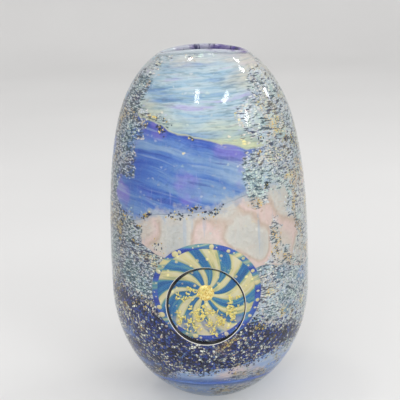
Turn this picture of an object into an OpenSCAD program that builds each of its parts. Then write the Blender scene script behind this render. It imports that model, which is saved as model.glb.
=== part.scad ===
// Hand blown, cased art glass vase: an egg shaped body with a narrow wrapped lip, a ground foot and a round
// window ground into the thick clear casing, over a medallion of twisted canes.
// Millimetres, +Z up, origin at the middle of the foot, with the window facing -Y.

/* [Body] */
// Height from the foot to the top of the lip
height = 200; // [160:1:240]
// Diameter at the widest place
body_d = 114; // [104:1:138]
// Height of the widest place
wide_z = 65; // [58:1:78]
// Diameter of the ground foot
foot_d = 40; // [32:1:50]
// Outside diameter of the lip
mouth_d = 51.5; // [42:0.5:62]
// Fullness of the shoulder, where 2 is an ellipse and more is squarer
shoulder_fullness = 2.7; // [2.3:0.1:3.2]
// Fullness of the belly below the widest place
belly_fullness = 2; // [1.9:0.1:2.4]

/* [Glass layers] */
// Clear casing at the widest place
casing_wall = 8.5; // [7:0.25:10.5]
// Clear casing under the middle of the body
casing_base = 9; // [7:0.5:12]
// Clear casing at the lip
casing_lip = 1.2; // [0.8:0.1:2]
// Coloured sweeps, the layer that the casing covers
sweep_wall = 1.2; // [0.8:0.1:1.6]
// Coloured sweeps at the lip
sweep_lip = 0.5; // [0.3:0.1:0.8]
// Opaque overlay under the sweeps
overlay_wall = 1; // [0.6:0.1:1.6]
// Opaque overlay at the lip
overlay_lip = 0.4; // [0.3:0.1:0.8]
// Inner bubble at the widest place
bubble_wall = 3; // [2:0.25:4.5]
// Inner bubble under the hollow
bubble_base = 10; // [6:0.5:14]
// Inner bubble at the lip
bubble_lip = 1.1; // [0.8:0.1:2]

/* [Lip and foot] */
// Thickness of the thread wrapped round the lip
lip_d = 3.8; // [3.4:0.1:5]
// How far the middle of the lip thread stands off the end of the wall
lip_seat = 0.6; // [0.2:0.1:1]
// Rise of the wall above level where it meets the lip, in degrees
lip_rise = 31; // [20:1:45]
// Diameter of the hollow ground out of the foot
pontil_d = 22; // [14:1:28]
// Depth of that hollow
pontil_depth = 1.2; // [0.6:0.1:2]
// Thickness of the thread trailed round the base, under the casing
trail_d = 2.4; // [1.6:0.1:3]
// How deep that thread is pressed into the sweep it lies on
trail_sink = 0.5; // [0.2:0.1:0.7]
// Height where that thread lies on the sweep
trail_z = 19; // [15:0.5:24]

/* [Sweeps] */
// Height of the top of the sky blue sweep at the middle of the body
sky_top = 28; // [24:1:34]
// Height of the top of the midnight sweep there
midnight_top = 56; // [50:1:64]
// Height of the top of the silver sweep there
silver_top = 88; // [80:1:96]
// Height of the top of the opal sweep there
opal_top = 122; // [114:1:130]
// Height of the top of the cobalt sweep there
cobalt_top = 156; // [148:1:164]
// Tilt of the edges between sweeps, in degrees
sweep_tilt = 14; // [6:1:18]
// Side that an edge rises to, in degrees round from +X, where it climbs to the left
left_rise = 188; // [160:1:210]
// The same, where it climbs to the right
right_rise = 8; // [-20:1:30]

/* [Window] */
// Diameter of the ground window at its floor
window_d = 42; // [34:0.5:50]
// Slope of the window's wall, which opens outwards, in degrees
window_flare = 15; // [0:1:25]
// Height of the middle of the window
window_z = 68; // [62:1:76]
// Turn of the window from the front towards the left, in degrees
window_turn = 3; // [0:1:10]
// Clear glass left over the medallion at the middle of the window
window_cover = 2.1; // [1.2:0.1:3]
// Depth of the dished floor below the floor's edge
window_dish = 1.2; // [0.6:0.1:1.6]

/* [Medallion] */
// Diameter of the medallion of canes
medallion_d = 55; // [46:0.5:66]
// Height of the middle of the medallion
medallion_z = 74; // [70:1:80]
// How far the medallion stands out into the casing
medallion_proud = 0.8; // [0.4:0.1:1.2]
// Pale backing behind the canes
backing_t = 0.8; // [0.5:0.1:1]
// Width of the collar round the canes
collar_w = 2.8; // [2:0.1:4]
// Diameter of the cane in the middle
centre_d = 9; // [6:0.5:14]
// Canes of each of the two colours
cane_pairs = 10; // [6:1:14]
// Radius of the curve that the canes follow from the middle to the collar
cane_curve = 19; // [17:0.5:40]

/* [Hidden] */
$fn = 96;
wide_arc_fn = 360;
belly_steps = 14;
shoulder_steps = 20;
wide_r = body_d / 2;
reach = 2 * height;

// The middle of the lip thread, and the outer edge of the wall's end under it, as [radius, height]
lip_mid = [mouth_d / 2 - lip_d / 2, height - lip_d / 2];
wall_along = [-cos(lip_rise), sin(lip_rise)];
wall_out = [sin(lip_rise), cos(lip_rise)];
lip_wall = casing_lip + sweep_lip + overlay_lip + bubble_lip;
wall_end = lip_mid - lip_seat * wall_along + lip_wall / 2 * wall_out;

// A skin is the surface between two layers: its depth inside the casing's outside at the widest place and
// at the lip, its lowest height, and its radius there
OUTSIDE = [0, 0, 0, foot_d / 2];
SWEEP_OUT = [casing_wall, casing_lip, casing_base, 0];
OVERLAY_OUT = deeper(SWEEP_OUT, sweep_wall, sweep_lip, sweep_wall);
BUBBLE_OUT = deeper(OVERLAY_OUT, overlay_wall, overlay_lip, overlay_wall);
HOLLOW = deeper(BUBBLE_OUT, bubble_wall, bubble_lip, bubble_base);
BACKING_OUT = deeper(OVERLAY_OUT, -backing_t, 0, -backing_t);
MEDALLION_OUT = deeper(SWEEP_OUT, -medallion_proud, 0, -medallion_proud);

// The planes between sweeps, from the base up: height at the middle, and the side that the plane rises to
SWEEP_EDGES = [
    [sky_top, right_rise], [midnight_top, left_rise], [silver_top, left_rise],
    [opal_top, right_rise], [cobalt_top, left_rise]
];

function deeper(skin, wall, lip, base) = [skin[0] + wall, skin[1] + lip, skin[2] + base, 0];

// Points of a quarter of a superellipse, from one turn angle to another: across and along its two half axes
function quarter(across, along, fullness, from, to, steps) = [
    for (i = [0 : steps]) let (t = from + (to - from) * i / steps)
        [across * pow(cos(t), 2 / fullness), along * pow(sin(t), 2 / fullness)]
];

// Half outline of a skin as [radius, height], from its lowest place to the lip, in two quarters that meet
// at the widest place
function outline(skin) =
    let (
        r = wide_r - skin[0],
        top = wall_end - skin[1] * wall_out,
        low_turn = acos(pow(skin[3] / r, belly_fullness / 2)),
        top_turn = acos(pow(top[0] / r, shoulder_fullness / 2)),
        belly = (wide_z - skin[2]) / pow(sin(low_turn), 2 / belly_fullness),
        shoulder = (top[1] - wide_z) / pow(sin(top_turn), 2 / shoulder_fullness),
        below = quarter(r, -belly, belly_fullness, low_turn, 0, belly_steps),
        above = quarter(r, shoulder, shoulder_fullness, 0, top_turn, shoulder_steps)
    )
    [for (p = concat(below, [for (i = [1 : shoulder_steps]) above[i]])) [p[0], wide_z + p[1]]];

function reversed(points) = [for (i = [len(points) - 1 : -1 : 0]) points[i]];

// Layer of glass between two skins, open at the mouth, with a seat for the lip thread in its end
module layer(outer_skin, inner_skin) {
    foot_middle = outer_skin[3] > 0 ? [[0, outer_skin[2]]] : [];
    difference() {
        rotate_extrude() polygon(concat(foot_middle, outline(outer_skin), reversed(outline(inner_skin))));
        lip_thread();
    }
}

module lip_thread() {
    rotate_extrude() translate(lip_mid) circle(d = lip_d);
}

// Ring of thread that lies on the outside of the sweeps, square to their skin
module base_thread() {
    across = wide_r - SWEEP_OUT[0];
    along = wide_z - SWEEP_OUT[2];
    fall = (wide_z - trail_z) / along;
    out = pow(1 - pow(fall, belly_fullness), 1 / belly_fullness);
    normal = [pow(out, belly_fullness - 1) / across, -pow(fall, belly_fullness - 1) / along];
    stand_off = (trail_d / 2 - trail_sink) / norm(normal);
    rotate_extrude() translate([across * out, trail_z] + stand_off * normal) circle(d = trail_d);
}

// Turns a shape drawn round +Z to point out of the front of the body, at a height
module on_front(z) {
    rotate([0, 0, -window_turn]) translate([0, 0, z]) rotate([90, 0, 0]) children();
}

// Space over one of the edges between sweeps, or under it when flipped
module beyond(edge, flipped) {
    translate([0, 0, edge[0]]) rotate([0, 0, edge[1]]) rotate([0, -sweep_tilt, 0])
        translate([-reach, -reach, flipped ? -reach : 0]) cube([2 * reach, 2 * reach, reach]);
}

// Coloured sweep with its number from the base: under its own edge, and over all the edges below it
module sweep(number) {
    difference() {
        layer(SWEEP_OUT, OVERLAY_OUT);
        for (edge = [for (i = [0 : 1 : number - 1]) SWEEP_EDGES[i]]) beyond(edge, true);
        if (number < len(SWEEP_EDGES)) beyond(SWEEP_EDGES[number], false);
        base_thread();
        on_front(medallion_z) cylinder(d = medallion_d, h = reach);
    }
}

// The ground window: a round well with a flared wall and a dished floor
module window_cut() {
    radius = window_d / 2;
    flared = radius + reach * tan(window_flare);
    floor_edge = wide_r - casing_wall + medallion_proud + window_cover + window_dish;
    dish_r = (radius * radius + window_dish * window_dish) / (2 * window_dish);
    on_front(window_z) rotate_extrude() {
        translate([0, floor_edge]) polygon([[0, 0], [radius, 0], [flared, reach], [0, reach]]);
        intersection() {
            translate([0, floor_edge - window_dish + dish_r]) circle(r = dish_r, $fn = wide_arc_fn);
            translate([0, floor_edge - dish_r]) square([radius, dish_r]);
        }
    }
}

// The hollow ground out of the foot, where the body was broken from its rod
module pontil_cut() {
    radius = pontil_d / 2;
    ball_r = (radius * radius + pontil_depth * pontil_depth) / (2 * pontil_depth);
    translate([0, 0, pontil_depth - ball_r]) sphere(r = ball_r, $fn = wide_arc_fn);
}

// Part of the medallion between two skins, inside an outline that is drawn as the child
module in_medallion(front, back) {
    intersection() {
        layer(front, back);
        on_front(medallion_z) linear_extrude(reach) children();
    }
}

// Outline of one twisted cane, between two arcs that start at the middle of the medallion
module cane(number) {
    step = 180 / cane_pairs;
    intersection() {
        difference() {
            circle(d = medallion_d - 2 * collar_w);
            circle(d = centre_d);
        }
        difference() {
            rotate(number * step) translate([cane_curve, 0]) circle(r = cane_curve);
            rotate((number + 1) * step) translate([cane_curve, 0]) circle(r = cane_curve);
        }
    }
}

// Every second cane, from the first one given
module canes(first) {
    in_medallion(MEDALLION_OUT, BACKING_OUT)
        for (i = [first : 2 : 2 * cane_pairs - 1]) cane(i);
}

module clear_casing() {
    color([0.86, 0.93, 0.95, 0.35]) difference() {
        layer(OUTSIDE, SWEEP_OUT);
        in_medallion(MEDALLION_OUT, SWEEP_OUT) circle(d = medallion_d);
        window_cut();
        pontil_cut();
        base_thread();
    }
}

module lip_wrap() {
    color([0.16, 0.13, 0.45]) lip_thread();
}

module base_trail() {
    color([0.12, 0.2, 0.6]) base_thread();
}

module inner_bubble() {
    color([0.42, 0.5, 0.72]) layer(BUBBLE_OUT, HOLLOW);
}

module colour_overlay() {
    color([0.62, 0.72, 0.76]) layer(OVERLAY_OUT, BUBBLE_OUT);
}

module sky_sweep() {
    color([0.45, 0.58, 0.86]) sweep(0);
}

module midnight_sweep() {
    color([0.1, 0.14, 0.36]) sweep(1);
}

module silver_sweep() {
    color([0.7, 0.76, 0.8]) sweep(2);
}

module opal_sweep() {
    color([0.86, 0.78, 0.76]) sweep(3);
}

module cobalt_sweep() {
    color([0.2, 0.34, 0.76]) sweep(4);
}

module veil_sweep() {
    color([0.6, 0.77, 0.82]) sweep(5);
}

module medallion_backing() {
    color([0.8, 0.74, 0.6]) in_medallion(BACKING_OUT, OVERLAY_OUT) circle(d = medallion_d);
}

module medallion_collar() {
    color([0.3, 0.45, 0.78]) in_medallion(MEDALLION_OUT, BACKING_OUT) difference() {
        circle(d = medallion_d);
        circle(d = medallion_d - 2 * collar_w);
    }
}

module medallion_blue_canes() {
    color([0.14, 0.42, 0.68]) canes(0);
}

module medallion_cream_canes() {
    color([0.85, 0.78, 0.58]) canes(1);
}

module medallion_centre() {
    color([0.85, 0.7, 0.35]) in_medallion(MEDALLION_OUT, BACKING_OUT) circle(d = centre_d);
}

clear_casing();
lip_wrap();
base_trail();
inner_bubble();
colour_overlay();
sky_sweep();
midnight_sweep();
silver_sweep();
opal_sweep();
cobalt_sweep();
veil_sweep();
medallion_backing();
medallion_collar();
medallion_blue_canes();
medallion_cream_canes();
medallion_centre();
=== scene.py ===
from math import acos, asin, cos, hypot, pi, radians, sin, sqrt, tan

import bmesh
import bpy
import numpy as np
from mathutils import Matrix, Vector


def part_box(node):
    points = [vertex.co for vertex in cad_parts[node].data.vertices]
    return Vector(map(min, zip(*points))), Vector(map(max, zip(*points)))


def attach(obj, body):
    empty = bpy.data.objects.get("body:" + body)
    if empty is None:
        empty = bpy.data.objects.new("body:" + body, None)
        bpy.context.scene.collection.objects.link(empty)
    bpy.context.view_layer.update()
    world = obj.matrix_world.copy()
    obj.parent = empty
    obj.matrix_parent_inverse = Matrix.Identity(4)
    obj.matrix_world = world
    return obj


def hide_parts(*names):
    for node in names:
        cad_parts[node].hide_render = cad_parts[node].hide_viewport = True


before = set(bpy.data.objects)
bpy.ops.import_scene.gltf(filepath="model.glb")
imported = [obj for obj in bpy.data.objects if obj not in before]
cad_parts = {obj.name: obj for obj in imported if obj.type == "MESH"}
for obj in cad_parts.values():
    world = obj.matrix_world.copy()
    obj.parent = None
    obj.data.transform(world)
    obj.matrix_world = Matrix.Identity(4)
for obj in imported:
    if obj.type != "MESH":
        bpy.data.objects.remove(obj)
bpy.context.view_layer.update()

# Overall sizes, read from the construction, in metres
MM = 0.001
LIP_LOW, LIP_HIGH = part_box("lip_wrap")
HEIGHT = LIP_HIGH.z
LIP_D = LIP_HIGH.z - LIP_LOW.z
LIP_MID = np.array([LIP_HIGH.x - LIP_D / 2, HEIGHT - LIP_D / 2])
WIDE_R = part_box("clear_casing")[1].x

# The body's outline and layers, as the construction has them
WIDE_Z = 65 * MM
FOOT_R = 20 * MM
SHOULDER_FULLNESS = 2.7
BELLY_FULLNESS = 2.0
CASING_WALL = 8.5 * MM
CASING_BASE = 9 * MM
CASING_LIP = 1.2 * MM
SWEEP_WALL = 1.2 * MM
SWEEP_LIP = 0.5 * MM
OVERLAY_WALL = 1 * MM
OVERLAY_LIP = 0.4 * MM
BUBBLE_WALL = 3 * MM
BUBBLE_BASE = 10 * MM
BUBBLE_LIP = 1.1 * MM
LIP_SEAT = 0.6 * MM
LIP_RISE = radians(31)
PONTIL_R = 11 * MM
PONTIL_DEPTH = 1.2 * MM
TRAIL_D = 2.4 * MM
TRAIL_SINK = 0.5 * MM
TRAIL_Z = 19 * MM

# The foot: how far its flat keeps from its two edges, and rings as shares of the hollow's radius
FOOT_ROUND = 0.6 * MM
PONTIL_ROUND = 0.4 * MM
PONTIL_RINGS = (1, 0.8, 0.55, 0.25)

# The casing's reach into the sweeps, as a share of their thickness, so that no air lies between
CASING_LAP = 0.75

# The window, and the well behind its rim, whose floor lies a little off the axis, so that the well's wall,
# painted dark as shade, shows wider on some sides
WINDOW_R = 21 * MM
WINDOW_Z = 68 * MM
WINDOW_TURN = radians(-3)
WINDOW_RIGHT = np.array([cos(WINDOW_TURN), sin(WINDOW_TURN)])
WINDOW_AHEAD = np.array([sin(WINDOW_TURN), -cos(WINDOW_TURN)])
WINDOW_COVER = 2.1 * MM
WINDOW_DISH = 1.2 * MM
WINDOW_BEVEL = 0.3 * MM
WINDOW_FLARE = radians(15)
WINDOW_PATCH = WINDOW_R + 6 * MM
WELL_INSET = 0.84 * MM
WELL_SHIFT_X = -0.3 * MM
WELL_SHIFT_Y = 0.36 * MM
WELL_RINGS = [1, *np.linspace(0.94, 0.08, 10)]

# The medallion behind the window
MEDALLION_R = 27.5 * MM
MEDALLION_Z = 74 * MM
MEDALLION_PROUD = 0.8 * MM
BACKING_T = 0.8 * MM
COLLAR_W = 2.8 * MM
COLLAR_CROWN = 0.3 * MM
CENTRE_R = 4.5 * MM
CENTRE_CROWN = 0.4 * MM
CANES_R = MEDALLION_R - COLLAR_W
CANE_PAIRS = 10
CANE_CURVE = 19 * MM
CANE_CROWN = 0.35 * MM
CANE_SHIFT = 0.07
CANE_WAVER = 0.045
CANE_WAVE = 3.6 * MM
MEDALLION_BACK = -SWEEP_WALL
MEDALLION_SEAT = BACKING_T - SWEEP_WALL
WELL_FRONT = WIDE_R - CASING_WALL + MEDALLION_PROUD + WINDOW_COVER + WINDOW_DISH

# The medallion's seat in the sweeps: where its edge starts and ends, and what is left of them in it
POCKET_START = MEDALLION_R - 2.6 * MM
POCKET_END = MEDALLION_R - 0.4 * MM
POCKET_LEFT = 0.05

# The edges between the coloured sweeps, from the base up: height at the middle, and the side it rises to
SWEEP_TILT = radians(14)
VEIL_TILT = radians(4)
LEFT_RISE = radians(188)
RIGHT_RISE = radians(8)
SWEEP_EDGES = [
    (28 * MM, RIGHT_RISE), (56 * MM, LEFT_RISE), (88 * MM, LEFT_RISE),
    (122 * MM, RIGHT_RISE), (156 * MM, LEFT_RISE),
]
SWEEP_START = 0.2 * MM
SWEEP_LEAST = 2.5 * MM
SWEEP_THINS = 0.5
VEIL_LOW = 0.74 * HEIGHT

# How the edges waver, as waves round the body and their height, and how they are rounded
EDGE_WAVES = [
    (2, 1.8 * MM), (3, 1.6 * MM), (5, 1.1 * MM), (8, 0.7 * MM),
    (13, 0.4 * MM), (23, 0.25 * MM), (41, 0.12 * MM),
]
EDGE_ROUND = 0.3 * MM
EDGE_ROWS = np.array([0, 0.1, 0.35, 0.7, 1.0]) * EDGE_ROUND
EDGE_GROOVE = 0.25

# How far the hand-made body strays from a true lathe form, and its waves round the body and up it
OVAL = 0.006
OVAL_START = 0.7
OVAL_TWIST = 6
RIPPLE = 0.0012
RIPPLE_WAVES = [(3, 21), (5, -13)]
LEAN = -0.7 * MM
LEAN_FROM = 0.5
LIP_DIP = 2.7 * MM
LIP_BACK = 1.4 * MM
DIP_FROM = 0.8
THREAD_WAVES = [(3, 0.3), (7, 0.2)]
LIP_WOBBLE = 0.06
TRAIL_WOBBLE = 0.25

# Beads on the collar
BEADS = 34
BEAD_LEAST = 0.6 * MM
BEAD_RANGE = 1.1 * MM
BEAD_LENGTH = (0.85, 1.25)
BEAD_HEIGHT = 0.6
BEAD_SINK = 0.3 * MM
BEAD_STRAY = 0.4 * MM
BEAD_TURN_STRAY = 0.3
BEAD_LIFTS = np.radians([0, 25, 50, 72])

# Gold flakes, in clumps that thin out from the lower height to the upper one
CLUMPS = 80
CLUMP_REACH = 0.85 * WINDOW_R
CLUMP_FLAKES = (3, 9)
CLUMP_LONG = 2.2 * MM
CLUMP_WIDE = 0.7 * MM
CLUMP_LOW = -16 * MM
CLUMP_HIGH = 6 * MM
CLUMP_LOSS = 0.9
FLAKE_REACH = 0.92 * WINDOW_R
FLAKE_LONG = (0.6 * MM, 1.9 * MM)
FLAKE_WIDE = (0.35 * MM, 0.8 * MM)
FLAKE_OUT = (0.25 * MM, 1 * MM)
FLAKE_SPREAD = (0.55, 1)
FLAKE_STRAY = 0.35
FLAKE_CRUMPLE = 0.2 * MM
FLAKE_CROWN = 0.15 * MM
FLAKE_T = 0.05 * MM

# Crumbs of frit, in clusters along the edges of the sweeps
CLUSTERS = 24
CLUSTER_CRUMBS = (10, 46)
CLUSTER_SPREAD = (1.2 * MM, 3.6 * MM)
CLUSTER_DROP = 2.2 * MM
CLUSTER_FLATNESS = 0.45
CRUMB_SIZE = (0.25 * MM, 0.85 * MM)
CRUMB_SPOKE = (0.5, 1.1)
CRUMB_RAISE = 0.1
CRUMB_GOLD = 0.3

# Rows, columns and corners of the meshes, and the angles over which an edge stays sharp
COLUMNS = 240
ROWS_BELOW, ROWS_BESIDE, ROWS_ABOVE = 30, 37, 66
CASING_IN_ROWS = 60
RIM_ROWS = 8
RIM_CROWDING = 0.8
SWEEP_ROWS = 34
SHELL_COLUMNS = 120
SHELL_ROWS = 80
TRAIL_SIDES = 20
LIP_SIDES = 28
DISC_SIDES = 120
DISC_RINGS = 10
CANE_COLUMNS = 26
CANE_ROWS = 9
BEAD_SIDES = 12
FLAKE_SIDES = 7
SHARP = radians(40)
CASING_SHARP = radians(28)
CRUMB_SHARP = 0.3

# Rounds in which a place that depends on itself settles
SETTLE_ROUNDS = 6

# Seeds of what is left to chance
EDGE_SEED = 11
BEAD_SEED = 11
LIP_SEED = 14
FLAKE_SEED = 16
CRUMB_SEED = 20
TRAIL_SEED = 22
CANE_SEED = 51

# Finishes of the casing's faces: polished, ground, and the well's wall, which is painted dark as shade
POLISHED, GROUND, PAINTED_SHADE_WELL = range(3)


class Skin:
    """A surface between layers of glass, as a dense half outline from the bottom to the lip."""

    STEPS = 400

    def __init__(self, wall, lip, base, foot=0.0):
        self.inset = np.array([wall, lip, base])
        top_r, top_z = WALL_END - lip * WALL_OUT
        low = self.arc(WIDE_R - wall, foot, base, BELLY_FULLNESS)[:, ::-1]
        high = self.arc(WIDE_R - wall, top_r, top_z, SHOULDER_FULLNESS)[:, 1:]
        self.r, self.z = np.concatenate([low, high], axis=1)
        self.s = np.concatenate([[0], np.cumsum(np.hypot(np.diff(self.r), np.diff(self.z)))])
        self.normal_r, self.normal_z = np.gradient(self.z, self.s), -np.gradient(self.r, self.s)

    def arc(self, r, end_r, end_z, fullness):
        """Radii and heights along a superellipse, from the widest place to an end."""
        turn = acos((end_r / r) ** (fullness / 2))
        rise = (end_z - WIDE_Z) / sin(turn) ** (2 / fullness)
        angle = np.linspace(0, turn, self.STEPS)
        across, up = np.cos(angle).clip(0) ** (2 / fullness), np.sin(angle) ** (2 / fullness)
        return np.stack([r * across, WIDE_Z + rise * up])

    def radius(self, z):
        return np.interp(z, self.z, self.r)

    def along(self, z):
        return np.interp(z, self.z, self.s)

    def place(self, s, out=0.0):
        """Radius and height at a distance along the outline, and out from it."""
        r = np.interp(s, self.s, self.r) + out * np.interp(s, self.s, self.normal_r)
        z = np.interp(s, self.s, self.z) + out * np.interp(s, self.s, self.normal_z)
        return r, z

    def deeper(self, wall, lip, base):
        return Skin(*(self.inset + (wall, lip, base)))


WALL_ALONG = np.array([-cos(LIP_RISE), sin(LIP_RISE)])
WALL_OUT = np.array([sin(LIP_RISE), cos(LIP_RISE)])
LIP_WALL = CASING_LIP + SWEEP_LIP + OVERLAY_LIP + BUBBLE_LIP
WALL_END = LIP_MID - LIP_SEAT * WALL_ALONG + LIP_WALL / 2 * WALL_OUT
OUTSIDE = Skin(0, 0, 0, FOOT_R)
SWEEP_OUT = Skin(CASING_WALL, CASING_LIP, CASING_BASE)
CASING_IN = SWEEP_OUT.deeper(CASING_LAP * SWEEP_WALL, CASING_LAP * SWEEP_LIP, CASING_LAP * SWEEP_WALL)
OVERLAY_OUT = SWEEP_OUT.deeper(SWEEP_WALL, SWEEP_LIP, SWEEP_WALL)
BUBBLE_OUT = OVERLAY_OUT.deeper(OVERLAY_WALL, OVERLAY_LIP, OVERLAY_WALL)
HOLLOW = BUBBLE_OUT.deeper(BUBBLE_WALL, BUBBLE_LIP, BUBBLE_BASE)


def smooth_step(x, start=0.0, end=1.0):
    """A soft rise from nothing at the start to one at the end."""
    x = np.clip((x - start) / (end - start), 0, 1)
    return x * x * (3 - 2 * x)


def turned(u, v, angle):
    """Two flat coordinates turned by an angle."""
    return u * cos(angle) - v * sin(angle), u * sin(angle) + v * cos(angle)


def circle(count):
    return np.arange(count) * 2 * pi / count


def even_turns(count):
    return WINDOW_TURN + circle(count)


def hand_made(points):
    """Moves points of the true lathe form to the slightly uneven form of hand work."""
    x, y, z = np.asarray(points, float).T
    turn, up = np.arctan2(x, -y), z / HEIGHT
    oval = 0.5 + 0.5 * np.cos(2 * turn + OVAL_START + OVAL_TWIST * up)
    (round_a, up_a), (round_b, up_b) = RIPPLE_WAVES
    ripple = 0.5 + 0.5 * np.sin(round_a * turn + up_a * up) * np.cos(round_b * turn + up_b * up)
    keep = 1 - OVAL * oval - RIPPLE * ripple
    lean = LEAN * smooth_step(up, LEAN_FROM, 1)
    dip = LIP_DIP * (0.5 - 0.5 * np.cos(2 * turn)) + LIP_BACK * (0.5 - 0.5 * np.cos(turn))
    return np.stack([x * keep + lean, y * keep, z - dip * smooth_step(up, DIP_FROM, 1)], axis=1)


def lathe_ring(r, z, turns):
    """Points round the axis, at turns that count from the front, -Y, to the right, +X."""
    r, z = np.broadcast_to(r, turns.shape), np.broadcast_to(z, turns.shape)
    return np.stack([r * np.sin(turns), -r * np.cos(turns), z], axis=1)


def on_front(x, front, z):
    """Points by how far right of the window's axis, how far forward and how high they are."""
    x, front, z = np.broadcast_arrays(x, front, z)
    flat = x[..., None] * WINDOW_RIGHT + front[..., None] * WINDOW_AHEAD
    return np.concatenate([flat, z[..., None]], axis=-1)


def on_medallion(x, y, out):
    """Points right of and above the medallion's middle, and out from the sweeps' surface."""
    z = MEDALLION_Z + np.asarray(y, float)
    r = SWEEP_OUT.radius(z) + out
    return on_front(x, np.sqrt(r * r - np.square(x)), z)


class Plan:
    """Points and faces of a mesh, gathered ring by ring."""

    def __init__(self):
        self.points = []
        self.faces = []
        self.finishes = []
        self.values = {}

    def add(self, points, **values):
        """Adds points, with values that the material reads, and gives their numbers."""
        start = len(self.points)
        self.points.extend(np.asarray(points, float).reshape(-1, 3))
        numbers = np.arange(start, len(self.points))
        for name, value in values.items():
            table = self.values.setdefault(name, {})
            table.update(zip(numbers, np.broadcast_to(value, len(numbers))))
        return numbers

    def lathe(self, places, turns):
        """Rings round the axis, one for each radius and height."""
        return [self.add(lathe_ring(r, z, turns)) for r, z in places]

    def face(self, corners, finish=POLISHED):
        self.faces.append(tuple(corners))
        self.finishes.append(finish)

    def join(self, a, b, closed=True, finish=POLISHED):
        """A strip of quads between two rings or rows of the same length."""
        for i in range(len(a) if closed else len(a) - 1):
            j = (i + 1) % len(a)
            self.face((a[i], a[j], b[j], b[i]), finish)

    def join_all(self, rings, closed=True, finish=POLISHED):
        for a, b in zip(rings, rings[1:]):
            self.join(a, b, closed, finish)

    def slab(self, fronts, backs, middles=(), closed=True):
        """The front and back of a sheet, joined along its edges, or closed to two middles."""
        self.join_all(fronts, closed)
        self.join_all(backs, closed)
        self.join(fronts[-1], backs[-1], closed)
        if not middles:
            self.join(fronts[0], backs[0], closed)
        for sheet, middle in zip((fronts, backs), middles):
            self.fan(sheet[0], middle)

    def fan(self, ring, point, **values):
        """Closes a ring to one point."""
        middle = self.add([point], **values)[0]
        for a, b in zip(ring, np.roll(ring, -1)):
            self.face((a, b, middle))

    def build(self, name, sharp_angle=None, uneven=True):
        """The mesh object, with faces turned outwards and unused points left out."""
        used = np.unique([i for face in self.faces for i in face])
        number = {old: new for new, old in enumerate(used)}
        points = np.array(self.points)[used]
        if uneven:
            points = hand_made(points)
        mesh = bpy.data.meshes.new(name)
        mesh.from_pydata(points.tolist(), [], [[number[i] for i in face] for face in self.faces])
        mesh.polygons.foreach_set("material_index", self.finishes)
        for attribute, table in self.values.items():
            layer = mesh.attributes.new(attribute, "FLOAT", "POINT")
            layer.data.foreach_set("value", [float(table.get(i, 0)) for i in used])
        work = bmesh.new()
        work.from_mesh(mesh)
        bmesh.ops.recalc_face_normals(work, faces=work.faces)
        work.to_mesh(mesh)
        work.free()
        mesh.shade_smooth()
        if sharp_angle:
            mesh.set_sharp_from_angle(angle=sharp_angle)
        piece = bpy.data.objects.new(name, mesh)
        bpy.context.scene.collection.objects.link(piece)
        return piece


def place_piece(piece, materials, slot, *nodes):
    """Gives a piece its finishes, and lets it ride on the vase in place of the named nodes."""
    for material in materials:
        piece.data.materials.append(material)
    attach(piece, "root")
    if nodes:
        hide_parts(*nodes)


def linear(r, g, b):
    """A colour as it is seen, in the linear values that shaders take."""
    return tuple(c / 12.92 if c <= 0.04045 else ((c + 0.055) / 1.055) ** 2.4 for c in (r, g, b)) + (1.0,)


AQUA = linear(0.61, 0.72, 0.80)
PALE_AQUA = linear(0.72, 0.79, 0.83)
TEAL = linear(0.40, 0.57, 0.68)
DEEP_TEAL = linear(0.30, 0.41, 0.46)
DARK_TEAL = linear(0.12, 0.26, 0.32)
UMBER = linear(0.27, 0.22, 0.18)
LEAF_AQUA = linear(0.58, 0.78, 0.79)
LEAF_BLUE = linear(0.66, 0.71, 0.90)
LEAF_LIME = linear(0.88, 0.85, 0.60)
LEAF_GREY = linear(0.66, 0.70, 0.70)
LEAF_PALE = linear(0.84, 0.86, 0.83)
LEAF_WHITE = linear(0.97, 0.97, 0.92)
SKY = linear(0.45, 0.58, 0.76)
PALE_SKY = linear(0.62, 0.70, 0.80)
COBALT = linear(0.20, 0.34, 0.70)
DEEP_COBALT = linear(0.15, 0.24, 0.60)
AZURE = linear(0.30, 0.46, 0.74)
VIOLET = linear(0.55, 0.46, 0.80)
LILAC = linear(0.70, 0.68, 0.84)
CREAM = linear(0.84, 0.81, 0.69)
LIME_CREAM = linear(0.82, 0.83, 0.64)
OPAL = linear(0.82, 0.77, 0.73)
OPAL_GREY = linear(0.74, 0.74, 0.73)
OPAL_WHITE = linear(0.81, 0.79, 0.76)
PINK = linear(0.86, 0.76, 0.74)
TAN = linear(0.77, 0.68, 0.62)
STEEL = linear(0.44, 0.54, 0.60)
SLATE = linear(0.20, 0.26, 0.32)
NAVY = linear(0.08, 0.12, 0.32)
INK = linear(0.03, 0.04, 0.09)
PERIWINKLE = linear(0.44, 0.57, 0.86)
PALE_PERIWINKLE = linear(0.60, 0.73, 0.92)
MIST = linear(0.76, 0.82, 0.92)
BLUSH = linear(0.91, 0.83, 0.82)
GOLD = linear(0.92, 0.76, 0.34)
YELLOW_GOLD = linear(0.99, 0.90, 0.42)
PALE_GOLD = linear(1.0, 0.95, 0.66)
DARK_GOLD = linear(0.55, 0.41, 0.17)
CANE_BLUE = linear(0.09, 0.35, 0.58)
CANE_AZURE = linear(0.13, 0.43, 0.66)
CANE_TEAL = linear(0.33, 0.56, 0.60)
CANE_CREAM = linear(0.84, 0.79, 0.58)
CANE_OLIVE = linear(0.64, 0.67, 0.49)
LIP_VIOLET = linear(0.34, 0.27, 0.62)
LIP_LILAC = linear(0.60, 0.56, 0.74)
LIP_CLEAR = linear(0.84, 0.88, 0.91)
LIP_PALE = linear(0.83, 0.84, 0.90)
# Painted shade: the near-black of the window well's wall
WELL_PAINTED_SHADE = linear(0.10, 0.11, 0.12)
FROST = linear(0.90, 0.91, 0.90)
CLEAR = linear(0.975, 0.985, 0.98)
FLOOR_GREY = linear(0.86, 0.86, 0.86)
FLOOR_PALE = linear(0.88, 0.88, 0.88)
SKY_COLOUR = linear(0.945, 0.94, 0.935)

# Sockets of a colour mix node
MIX_A, MIX_B, MIX_RESULT = 6, 7, 2

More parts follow.
